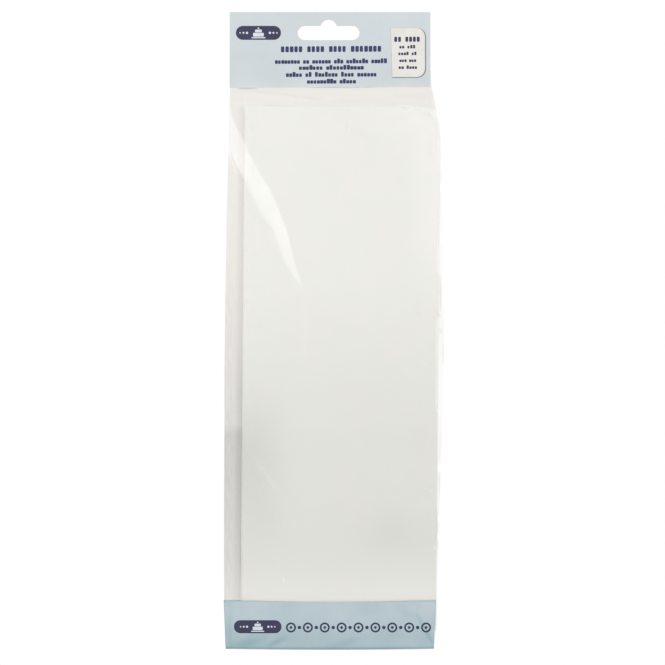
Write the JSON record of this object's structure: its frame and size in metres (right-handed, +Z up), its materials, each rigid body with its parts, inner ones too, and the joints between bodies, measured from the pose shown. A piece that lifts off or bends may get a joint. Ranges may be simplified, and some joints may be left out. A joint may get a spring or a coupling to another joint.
{
  "type": "icing smoother in hanging pack",
  "caption": "Flat white plate for smoothing cake icing, in a clear bag with a folded header card and a footer band.",
  "frame": {"origin": "centre of the round hole of the euro slot in the header card, midway between its two leaves", "axes": "+Z up as the pack hangs, +X to the right seen from the printed front, and the front faces -Y"},
  "size_m": [0.1134, 0.004, 0.3298],
  "materials": {
    "white_plastic": "fine satin",
    "clear_film": "clear, glossy, slightly hazy",
    "header_board": "coated, printed pale blue-grey",
    "footer_board": "coated, printed blue-grey, creased",
    "label_paper": "matt off-white",
    "glue": "dried clear adhesive"
  },
  "bodies": {
    "header": {"header_card": "header_board", "header_glue_front": "glue", "header_glue_back": "glue", "size_label": "label_paper"},
    "bag": {"bag_front_film": "clear_film", "bag_back_film": "clear_film", "footer_band": "footer_board"},
    "smoother": {"smoother_blade": "white_plastic"}
  },
  "joints": [
    {"name": "bag_pull", "type": "slide", "parent": "header", "child": "bag", "axis": [0, 0, -1], "range_m": [0, 0.416]},
    {"name": "blade_slide", "type": "slide", "parent": "bag", "child": "smoother", "axis": [0.008, 0, 1], "range_m": [0, 0.312]}
  ],
  "couplings": [
    {"joint": "blade_slide", "follows": "bag_pull", "ratio": 0.75}
  ]
}
